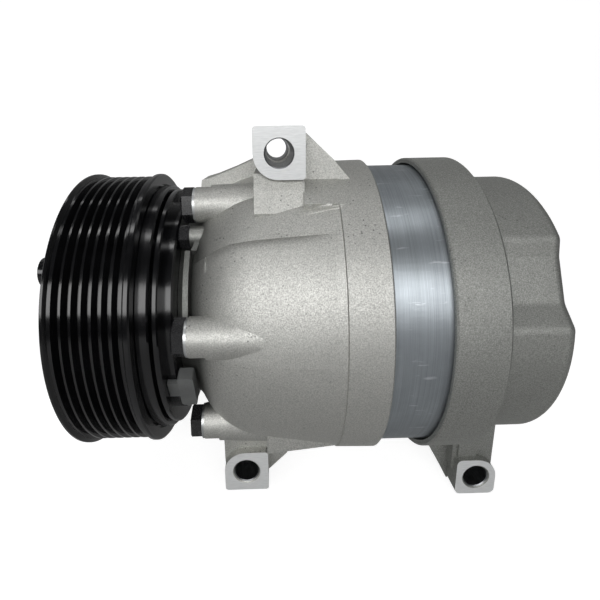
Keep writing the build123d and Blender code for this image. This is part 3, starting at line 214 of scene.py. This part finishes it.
def smooth_object(name, points, faces, material):
    """A smooth-shaded mesh object of one material, put in the scene."""
    mesh = bpy.data.meshes.new(name)
    mesh.from_pydata(points, [], faces)
    mesh.update()
    mesh.shade_smooth()
    mesh.materials.append(material)
    made = bpy.data.objects.new(name, mesh)
    bpy.context.scene.collection.objects.link(made)
    return made


# ------------------------------------------------------------------ castings

GRAIN = 2100.0
SPARKLE = 3400.0
BLOTCH = 45.0
PORES = 520.0
PORE_FIELDS = 70.0
CUTTER_LAY = (260.0, 260.0, 3800.0)
MILLED_METAL = 0.3
MILLED_ROUGHNESS = 0.42
REAMED_ROUGHNESS = 0.36
# How far from the shaft, in metres, the painted shade on the wall behind the clutch reaches.
PAINTED_SHADE_REACH = (0.0474, 0.0535)
SPARKLE_COLOUR = (0.86, 0.86, 0.83)
PORE_COLOUR = (0.20, 0.20, 0.195)
# Colour of the painted shade on the wall behind the clutch.
PAINTED_SHADE_COLOUR = (0.07, 0.075, 0.07)
MILLED_COLOURS = ((0.60, 0.61, 0.61), (0.73, 0.74, 0.74))
# Dark greys for the bores and their rims: painted shade inside the holes.
SHADED_BORE_COLOURS = ((0.16, 0.165, 0.17), (0.30, 0.31, 0.32))


def cast_surface(name, dark, light, roughness, bores, planes_y, planes_x=(), painted_shade=0.0):
    """Shot-blasted cast aluminium with pores and rubbed marks, bright machined faces, and smooth bores
    coloured dark grey as painted shade inside them.

    The last argument is how far painted shade darkens the wall behind the clutch, where the pulley shades it,
    from 0 to 1.
    """
    s = Shader(name, light, roughness, 1.0)
    grain = s.noise(GRAIN, detail=3.0, roughness=0.6)
    sparkle = s.noise(SPARKLE)
    blotch = s.noise(BLOTCH, detail=4.0, roughness=0.55)
    pores = s.fit(s.cells(PORES), 0.10, 0.22)
    rare = s.fit(s.noise(PORE_FIELDS), 0.56, 0.66)
    pores = s.math("MAXIMUM", pores, s.math("SUBTRACT", 1.0, rare))
    cast = s.mix(s.fit(grain, 0.36, 0.64), dark, light)
    cast = s.mix(s.fit(sparkle, 0.60, 0.74, 0.0, 0.40), cast, SPARKLE_COLOUR)
    cast = s.mix(s.fit(blotch, 0.35, 0.7, 0.0, 0.18), cast, dark)
    cast = s.mix(pores, PORE_COLOUR, cast)
    # Painted shade: a darker ring on the wall behind the clutch, where the pulley shades it.
    if painted_shade:
        cast = s.mix(s.fit(s.from_shaft(), *PAINTED_SHADE_REACH, painted_shade, 0.0), cast, PAINTED_SHADE_COLOUR)
    cut = s.on_planes("Y", planes_y)
    if planes_x:
        cut = s.math("MAXIMUM", cut, s.on_planes("X", planes_x))
    hole = s.either([s.in_bore(bore) for bore in bores])
    lay = s.noise(1.0, detail=2.0, roughness=0.6, place=s.stretched(CUTTER_LAY))
    milled = s.mix(s.fit(lay, 0.3, 0.7), *MILLED_COLOURS)
    # Painted shade: the bores and their rims are coloured dark grey for the shade inside them.
    shaded_bore = s.mix(s.fit(lay, 0.3, 0.7), *SHADED_BORE_COLOURS)
    s.feed("Base Color", s.mix(hole, s.mix(cut, cast, milled), shaded_bore))
    worn = s.fit(grain, 0.3, 0.7, roughness + 0.10, roughness - 0.06)
    s.feed("Roughness", s.blend(hole, s.blend(cut, worn, MILLED_ROUGHNESS), REAMED_ROUGHNESS))
    s.feed("Metallic", s.fit(cut, 0.0, 1.0, 1.0, MILLED_METAL))
    rough = s.bump(grain, depth=0.00008)
    rough = s.bump(sparkle, depth=0.00004, under=rough)
    rough = s.bump(blotch, depth=0.0003, under=rough)
    smooth = s.bump(lay, depth=0.00001)
    s.feed("Normal", s.mix(s.math("MAXIMUM", cut, hole), rough, smooth, kind="VECTOR"))
    return s.material


BAND_RINGS = (5200.0, 18.0, 18.0)
BAND_DRAGS = (90.0, 520.0, 520.0)


def turned_band(name):
    """Turned aluminium: fine rings round the shaft, dull clouds and a few scuffs along it."""
    s = Shader(name, (0.62, 0.66, 0.71), 0.3, 1.0)
    rings = s.noise(1.0, detail=3.0, roughness=0.7, place=s.stretched(BAND_RINGS))
    clouds = s.noise(38.0, detail=4.0, roughness=0.6)
    drags = s.noise(1.0, detail=3.0, roughness=0.6, place=s.stretched(BAND_DRAGS))
    scuffs = s.fit(drags, 0.64, 0.72)
    base = s.mix(s.fit(rings, 0.35, 0.65), (0.33, 0.36, 0.38), (0.49, 0.53, 0.56))
    base = s.mix(s.fit(clouds, 0.42, 0.66, 0.0, 0.4), base, (0.29, 0.31, 0.34))
    base = s.mix(s.math("MULTIPLY", scuffs, 0.6), base, (0.76, 0.79, 0.82))
    s.feed("Base Color", base)
    dull = s.fit(clouds, 0.35, 0.7, 0.46, 0.56)
    s.feed("Roughness", s.math("MULTIPLY_ADD", scuffs, -0.05, dull))
    turned = s.bump(rings, depth=0.00003)
    s.feed("Normal", s.bump(drags, depth=0.00003, under=turned))
    s.set("Anisotropic", 0.6)
    s.set("Anisotropic Rotation", 0.25)
    tangent = s.node("ShaderNodeTangent", {}, direction_type="RADIAL", axis="X").outputs[0]
    s.feed("Tangent", tangent)
    return s.material


# ------------------------------------------------------------------ black steel, bright steel and the rest

def gloss_black(name, roughness):
    """Black enamel on steel: a soft orange peel, smears and dust."""
    s = Shader(name, (0.008, 0.008, 0.009), roughness, 0.0)
    peel = s.noise(700.0)
    dust = s.fit(s.noise(2400.0, detail=2.0, roughness=0.7), 0.72, 0.80)
    smear = s.noise(60.0, detail=4.0, roughness=0.6)
    base = s.mix(s.fit(smear, 0.4, 0.7), (0.003, 0.003, 0.0035), (0.007, 0.007, 0.008))
    s.feed("Base Color", s.mix(s.math("MULTIPLY", dust, 0.12), base, (0.12, 0.12, 0.12)))
    s.feed("Roughness", s.fit(smear, 0.3, 0.75, roughness - 0.04, roughness + 0.08))
    s.feed("Normal", s.bump(peel, depth=0.000008))
    s.set("IOR", 1.5)
    return s.material


def black_bolt(name):
    """Black phosphated steel, a little grey where it is worn."""
    s = Shader(name, (0.01, 0.01, 0.011), 0.26, 0.0)
    grain = s.noise(2600.0, detail=3.0)
    wear = s.noise(220.0, detail=3.0, roughness=0.6)
    base = s.mix(s.fit(grain, 0.35, 0.65), (0.006, 0.006, 0.007), (0.014, 0.014, 0.015))
    s.feed("Base Color", s.mix(s.fit(wear, 0.6, 0.75, 0.0, 0.4), base, (0.07, 0.07, 0.075)))
    s.feed("Roughness", s.fit(grain, 0.3, 0.7, 0.20, 0.32))
    s.feed("Normal", s.bump(grain, depth=0.00001))
    return s.material


STEEL_RINGS = (3600.0, 60.0, 60.0)


def bright_metal(name, low, high, roughness):
    """Ground, turned or plated metal, with fine rings round the shaft and dull patches."""
    s = Shader(name, high, roughness, 1.0)
    rings = s.noise(1.0, detail=3.0, roughness=0.6, place=s.stretched(STEEL_RINGS))
    patch = s.noise(150.0, detail=3.0)
    s.feed("Base Color", s.mix(s.fit(rings, 0.35, 0.65), low, high))
    s.feed("Roughness", s.fit(patch, 0.3, 0.7, roughness - 0.06, roughness + 0.12))
    s.feed("Normal", s.bump(rings, depth=0.00002))
    return s.material


def moulded(name, colour, roughness):
    """Moulded plastic or rubber with a fine texture and a dusty bloom."""
    s = Shader(name, colour, roughness, 0.0)
    texture = s.noise(1800.0)
    bloom = s.noise(120.0, detail=3.0)
    pale = tuple(min(1.0, c * 1.6 + 0.01) for c in colour)
    s.feed("Base Color", s.mix(s.fit(bloom, 0.4, 0.75, 0.0, 0.5), colour, pale))
    s.feed("Roughness", s.fit(texture, 0.3, 0.7, roughness - 0.05, roughness + 0.08))
    s.feed("Normal", s.bump(texture, depth=0.00004))
    return s.material


FRONT_CAST = cast_surface(
    "cast_front",
    dark=(0.41, 0.41, 0.392),
    light=(0.60, 0.60, 0.57),
    roughness=0.56,
    bores=(UPPER_BORE, LOWER_FRONT_BORE),
    planes_y=EAR_FACES,
    planes_x=(LUG_FACE,),
    # The next value sets how strong the painted shade on the wall behind the clutch is.
    painted_shade=0.74,
)
REAR_CAST = cast_surface(
    "cast_rear",
    dark=(0.275, 0.28, 0.265),
    light=(0.405, 0.41, 0.39),
    roughness=0.60,
    bores=(LOWER_REAR_BORE,),
    planes_y=EAR_FACES,
)
BAND = turned_band("turned_band")
BLACK = gloss_black("gloss_black", 0.14)
BOLT_BLACK = black_bolt("black_bolt")
GROUND = bright_metal("ground_steel", (0.50, 0.50, 0.51), (0.68, 0.68, 0.70), 0.24)
ZINC = bright_metal("zinc_steel", (0.40, 0.41, 0.41), (0.58, 0.59, 0.59), 0.36)
SPRING = bright_metal("spring_steel", (0.26, 0.28, 0.31), (0.40, 0.42, 0.46), 0.30)
MACHINED = bright_metal("machined_aluminium", (0.58, 0.59, 0.60), (0.76, 0.77, 0.78), 0.30)
RUBBER = moulded("black_rubber", (0.018, 0.018, 0.018), 0.62)
PLASTIC = moulded("grey_plastic", (0.085, 0.088, 0.087), 0.50)
BRASS = bright_metal("brass", (0.56, 0.42, 0.18), (0.76, 0.60, 0.28), 0.28)
COPPER = bright_metal("copper", (0.45, 0.21, 0.10), (0.66, 0.34, 0.17), 0.36)

FINISHES = {
    "cast_aluminium": FRONT_CAST,
    "cast_aluminium_rear": REAR_CAST,
    "turned_aluminium": BAND,
    "machined_aluminium": MACHINED,
    "black_steel": BLACK,
    "black_bolt": BOLT_BLACK,
    "zinc_steel": ZINC,
    "ground_steel": GROUND,
    "spring_steel": SPRING,
    "rubber": RUBBER,
    "copper": COPPER,
    "brass": BRASS,
    "grey_plastic": PLASTIC,
}
for part in frame["record"]["subparts"]:
    paint(FINISHES[part["material_slot"]], part["node"])


# ------------------------------------------------------------------ fine relief that follows the castings

SLOTS = {part["node"]: part["material_slot"] for part in frame["record"]["subparts"]}
RAY_START = 0.09
SUNK = 0.00012
RIDGE_STEPS = 60
RIDGE_FADE = 6.0
BEND_PLACE = 0.45
BEND_HEIGHT = 0.42


def skin_of(node):
    """A function that finds a casting's skin at an X station and an angle up from the near side.

    It gives the point and the way outward.
    """
    mesh = frame["nodes"][node].data
    tree = BVHTree.FromPolygons([v.co for v in mesh.vertices], [p.vertices for p in mesh.polygons])

    def skin(x, degrees):
        turn = math.radians(degrees)
        outward = Vector((0.0, -math.cos(turn), math.sin(turn)))
        start = Vector((x, 0.0, 0.0)) + outward * RAY_START
        place = tree.ray_cast(start, -outward)[0]
        return place, outward

    return skin


def along_path(path, share):
    """The X station and angle at a share, from 0 to 1, of the way along a path of (x, angle) points."""
    run = share * (len(path) - 1)
    first = min(int(run), len(path) - 2)
    part = run - first
    return tuple(a + part * (b - a) for a, b in zip(path[first], path[first + 1]))


def ridge(name, node, path, height, above, below):
    """A low ridge on a casting's skin along (x, angle) points.

    Above and below are how many degrees its slopes reach from its crest. It fades out at both ends.
    """
    skin = skin_of(node)
    points = []
    for k in range(RIDGE_STEPS + 1):
        share = k / RIDGE_STEPS
        x, angle = along_path(path, share)
        tall = height * min(1.0, RIDGE_FADE * share, RIDGE_FADE * (1.0 - share))
        section = (
            (above, -SUNK),
            (0.0, tall),
            (-BEND_PLACE * below, BEND_HEIGHT * tall),
            (-below, -SUNK),
        )
        for lean, lift in section:
            place, outward = skin(x, angle + lean)
            points.append(place + outward * lift)
    count = len(section)
    faces = []
    for k in range(RIDGE_STEPS):
        for j in range(count - 1):
            near = count * k + j
            faces.append((near, near + 1, near + 1 + count, near + count))
    slot = SLOTS[node]
    made = smooth_object(name, points, faces, FINISHES[slot])
    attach(made, "housing")


EDGE_PATH = [(-0.0475, 36.0), (-0.044, 40.0), (-0.036, 41.4), (0.004, 42.0)]
UPPER_FLASH_PATH = [(-0.0062, 53.2), (0.0075, 52.9)]
LOWER_FLASH_PATH = [(-0.0062, 50.6), (0.0072, 52.2)]
SEAM_PATH = [(0.0445, 83.0), (0.0605, 83.0)]
ridge("panel_edge", "front_housing", EDGE_PATH, height=0.0011, above=0.5, below=7.0)
ridge("upper_flash", "front_housing", UPPER_FLASH_PATH, height=0.0004, above=0.25, below=0.35)
ridge("lower_flash", "front_housing", LOWER_FLASH_PATH, height=0.0004, above=0.25, below=0.35)
ridge("flange_seam", "rear_head", SEAM_PATH, height=0.00025, above=0.2, below=0.25)


# ------------------------------------------------------------------ the return spring

SPRING_WIRE = 0.0009
SPRING_TURNS = 4
STEPS_PER_TURN = 40
WIRE_SIDES = 12


def return_spring():
    """A coil spring in the place of the CAD one, carried with the shaft and given a mesh of its own."""
    low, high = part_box("destroke_spring")
    radius = high.z - SPRING_WIRE
    start = low.x + SPRING_WIRE
    length = high.x - low.x - 2 * SPRING_WIRE
    steps = STEPS_PER_TURN * SPRING_TURNS
    points = []
    for k in range(steps + 1):
        turn = 2 * math.pi * SPRING_TURNS * k / steps
        outward = Vector((0.0, math.cos(turn), math.sin(turn)))
        middle = Vector((start + length * k / steps, 0.0, 0.0)) + outward * radius
        for j in range(WIRE_SIDES):
            way = 2 * math.pi * j / WIRE_SIDES
            along = Vector((math.sin(way), 0.0, 0.0))
            points.append(middle + (outward * math.cos(way) + along) * SPRING_WIRE)
    first_end = tuple(reversed(range(WIRE_SIDES)))
    last_end = tuple(range(steps * WIRE_SIDES, (steps + 1) * WIRE_SIDES))
    faces = [first_end, last_end]
    for k in range(steps):
        near = k * WIRE_SIDES
        far = near + WIRE_SIDES
        for j in range(WIRE_SIDES):
            after = (j + 1) % WIRE_SIDES
            faces.append((near + j, near + after, far + after, far + j))
    made = smooth_object("return_spring", points, faces, SPRING)
    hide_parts("destroke_spring")
    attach(made, "shaft")
    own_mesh(made)


return_spring()


# ------------------------------------------------------------------ studio: floor, lights, camera

WHITE = (1.0, 1.0, 1.0, 1.0)
DIM_COLOUR = (0.80, 0.82, 0.85, 1.0)
DIM_STRENGTH = 0.07
FLOOR_GAP = 0.0005
FLOOR_FRONT = -1.6
FLOOR_REAR = 0.9
FLOOR_SIDES = (-3.0, 3.0)
FLOOR_GREY = (0.40, 0.40, 0.40)
SEEN_GLOW = 0.84
MIRRORED_GLOW = 0.07
SWEEP_RADIUS = 0.5
SWEEP_STEPS = 16
BACKDROP_TOP = 3.0


def studio_floor():
    """A pale floor just under the lower ears, which sweeps up into a backdrop."""
    ground = CAD_BOX[0].z - FLOOR_GAP
    profile = [(FLOOR_FRONT, 0.0), (FLOOR_REAR, 0.0)]
    for k in range(1, SWEEP_STEPS + 1):
        turn = math.pi / 2 * k / SWEEP_STEPS
        y = FLOOR_REAR + SWEEP_RADIUS * math.sin(turn)
        z = SWEEP_RADIUS - SWEEP_RADIUS * math.cos(turn)
        profile.append((y, z))
    profile.append((FLOOR_REAR + SWEEP_RADIUS, BACKDROP_TOP))
    points = [(side, y, ground + z) for side in FLOOR_SIDES for y, z in profile]
    count = len(profile)
    faces = [(k, k + 1, count + k + 1, count + k) for k in range(count - 1)]
    s = Shader("studio_floor", FLOOR_GREY, 0.9, 0.0)
    rays = s.node("ShaderNodeLightPath", {}).outputs
    mirrored = s.math("MULTIPLY", rays["Is Glossy Ray"], MIRRORED_GLOW)
    s.set("Emission Color", WHITE)
    s.feed("Emission Strength", s.math("MULTIPLY_ADD", rays["Is Camera Ray"], SEEN_GLOW, mirrored))
    floor = smooth_object("studio_floor", points, faces, s.material)


def soft_light(name, place, aim, size, power):
    """A white rectangular soft light at a place, turned to its aim, with its power in watts."""
    lamp = bpy.data.lights.new(name, "AREA")
    lamp.shape = "RECTANGLE"
    lamp.size, lamp.size_y = size
    lamp.energy = power
    light = bpy.data.objects.new(name, lamp)
    light.location = place
    light.rotation_euler = (Vector(aim) - Vector(place)).to_track_quat("-Z", "Y").to_euler()
    bpy.context.scene.collection.objects.link(light)


def studio_world():
    """Surroundings that look white to the camera and give the object only a dim light."""
    world = bpy.data.worlds.new("studio")
    world.use_nodes = True
    nodes = world.node_tree.nodes
    dim = nodes["Background"]
    dim.inputs["Color"].default_value = DIM_COLOUR
    dim.inputs["Strength"].default_value = DIM_STRENGTH
    white = nodes.new("ShaderNodeBackground")
    white.inputs["Color"].default_value = WHITE
    seen = nodes.new("ShaderNodeLightPath")
    either = nodes.new("ShaderNodeMixShader")
    links = world.node_tree.links
    links.new(seen.outputs["Is Camera Ray"], either.inputs[0])
    links.new(dim.outputs[0], either.inputs[1])
    links.new(white.outputs[0], either.inputs[2])
    links.new(either.outputs[0], nodes["World Output"].inputs["Surface"])
    bpy.context.scene.world = world


CAMERA_PLACE = (-0.01957, -0.19485, 0.07873)
CAMERA_RIGHT = (0.9997, -0.0190, -0.0174)
CAMERA_UP = (0.0216, 0.2494, 0.9682)
CAMERA_LENS = 25.07
CAMERA_SENSOR = 36.0
CAMERA_SHIFT = (0.0355, -0.0948)
CAMERA_CLIP = (0.01, 20.0)


def studio_camera():
    """A close, wide camera, 195 mm in front of the shaft and looking 14 degrees down."""
    right = Vector(CAMERA_RIGHT)
    up = Vector(CAMERA_UP)
    back = right.cross(up).normalized()
    up = back.cross(right).normalized()
    right = up.cross(back)
    turn = Matrix((right, up, back)).transposed().to_4x4()
    data = bpy.data.cameras.new("camera")
    data.lens = CAMERA_LENS
    data.sensor_width = CAMERA_SENSOR
    data.shift_x, data.shift_y = CAMERA_SHIFT
    data.clip_start, data.clip_end = CAMERA_CLIP
    camera = bpy.data.objects.new("camera", data)
    camera.matrix_world = Matrix.Translation(Vector(CAMERA_PLACE)) @ turn
    bpy.context.scene.collection.objects.link(camera)
    bpy.context.scene.camera = camera


studio_floor()
studio_world()
studio_camera()
MIDDLE = (0.0, 0.0, 0.0)
soft_light("front_key", (-0.11, -0.70, 0.31), aim=(-0.05, 0.0, 0.01), size=(1.05, 0.32), power=5.2)
soft_light("overhead", (0.0, -0.14, 0.85), aim=MIDDLE, size=(1.0, 0.07), power=1.5)
soft_light("left_fill", (-0.9, -0.35, 0.25), aim=MIDDLE, size=(0.3, 0.7), power=0.25)
soft_light("backdrop_light", (0.0, 0.45, 1.0), aim=(0.0, 1.4, 0.35), size=(2.6, 0.5), power=9.0)
bpy.context.scene.view_settings.view_transform = "Standard"
